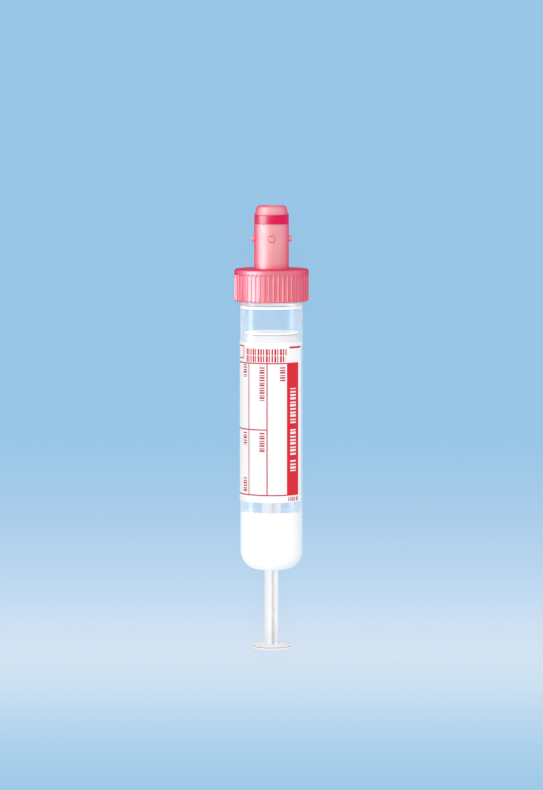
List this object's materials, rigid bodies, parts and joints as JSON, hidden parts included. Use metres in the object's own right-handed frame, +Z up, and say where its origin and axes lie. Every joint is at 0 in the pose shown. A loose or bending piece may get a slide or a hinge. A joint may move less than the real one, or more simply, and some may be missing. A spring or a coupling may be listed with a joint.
{
  "type": "blood collection tube",
  "caption": "Clear round-bottomed sample tube with a ribbed pink screw cap, a needle stem with lugs, a printed label, and a piston on a snap-off cruciform rod.",
  "frame": {"origin": "on the surface that the tube lies on, under the middle of the whole object's box", "axes": "+X along the tube from the thumb disc towards the cap's stem, +Z up out of the middle of the label, -Y towards the label's coloured bar; the tube's own axis climbs towards the cap by 1.385 degrees, because the collar is wider than the barrel"},
  "size_m": [0.1094, 0.0182, 0.0184],
  "materials": {
    "tube": "clear injection-moulded plastic, glossy",
    "base_guide": "milky translucent plastic",
    "label": "white coated paper with red print fields",
    "screw_cap": "pink, slightly translucent, glossy",
    "code_ring": "crimson, glossy",
    "septum": "natural rubber, matt",
    "piston_seal": "white elastomer, satin",
    "piston": "white plastic, satin",
    "piston_rod": "white plastic, satin gloss"
  },
  "bodies": {
    "barrel": {"tube": "tube", "base_guide": "base_guide", "label": "label"},
    "plunger": {"piston_seal": "piston_seal", "piston": "piston", "piston_rod": "piston_rod"},
    "cap_carrier": {"septum": "septum"},
    "cap": {"screw_cap": "screw_cap", "code_ring": "code_ring"}
  },
  "joints": [
    {"name": "plunger_draw", "type": "slide", "parent": "barrel", "child": "plunger", "axis": [-0.9997, 0, -0.0242], "range_m": [0, 0.0367]},
    {"name": "cap_lift", "type": "slide", "parent": "barrel", "child": "cap_carrier", "axis": [0.9997, 0, 0.0242], "range_m": [0, 0.00675]},
    {"name": "cap_turn", "type": "hinge", "parent": "cap_carrier", "child": "cap", "pos_m": [0.03814, 0, 0.00928], "axis": [0.9997, 0, 0.0242], "range_deg": [0, 810]}
  ],
  "couplings": [
    {"joint": "cap_turn", "follows": "cap_lift", "rad_per_m": 2094.4}
  ]
}
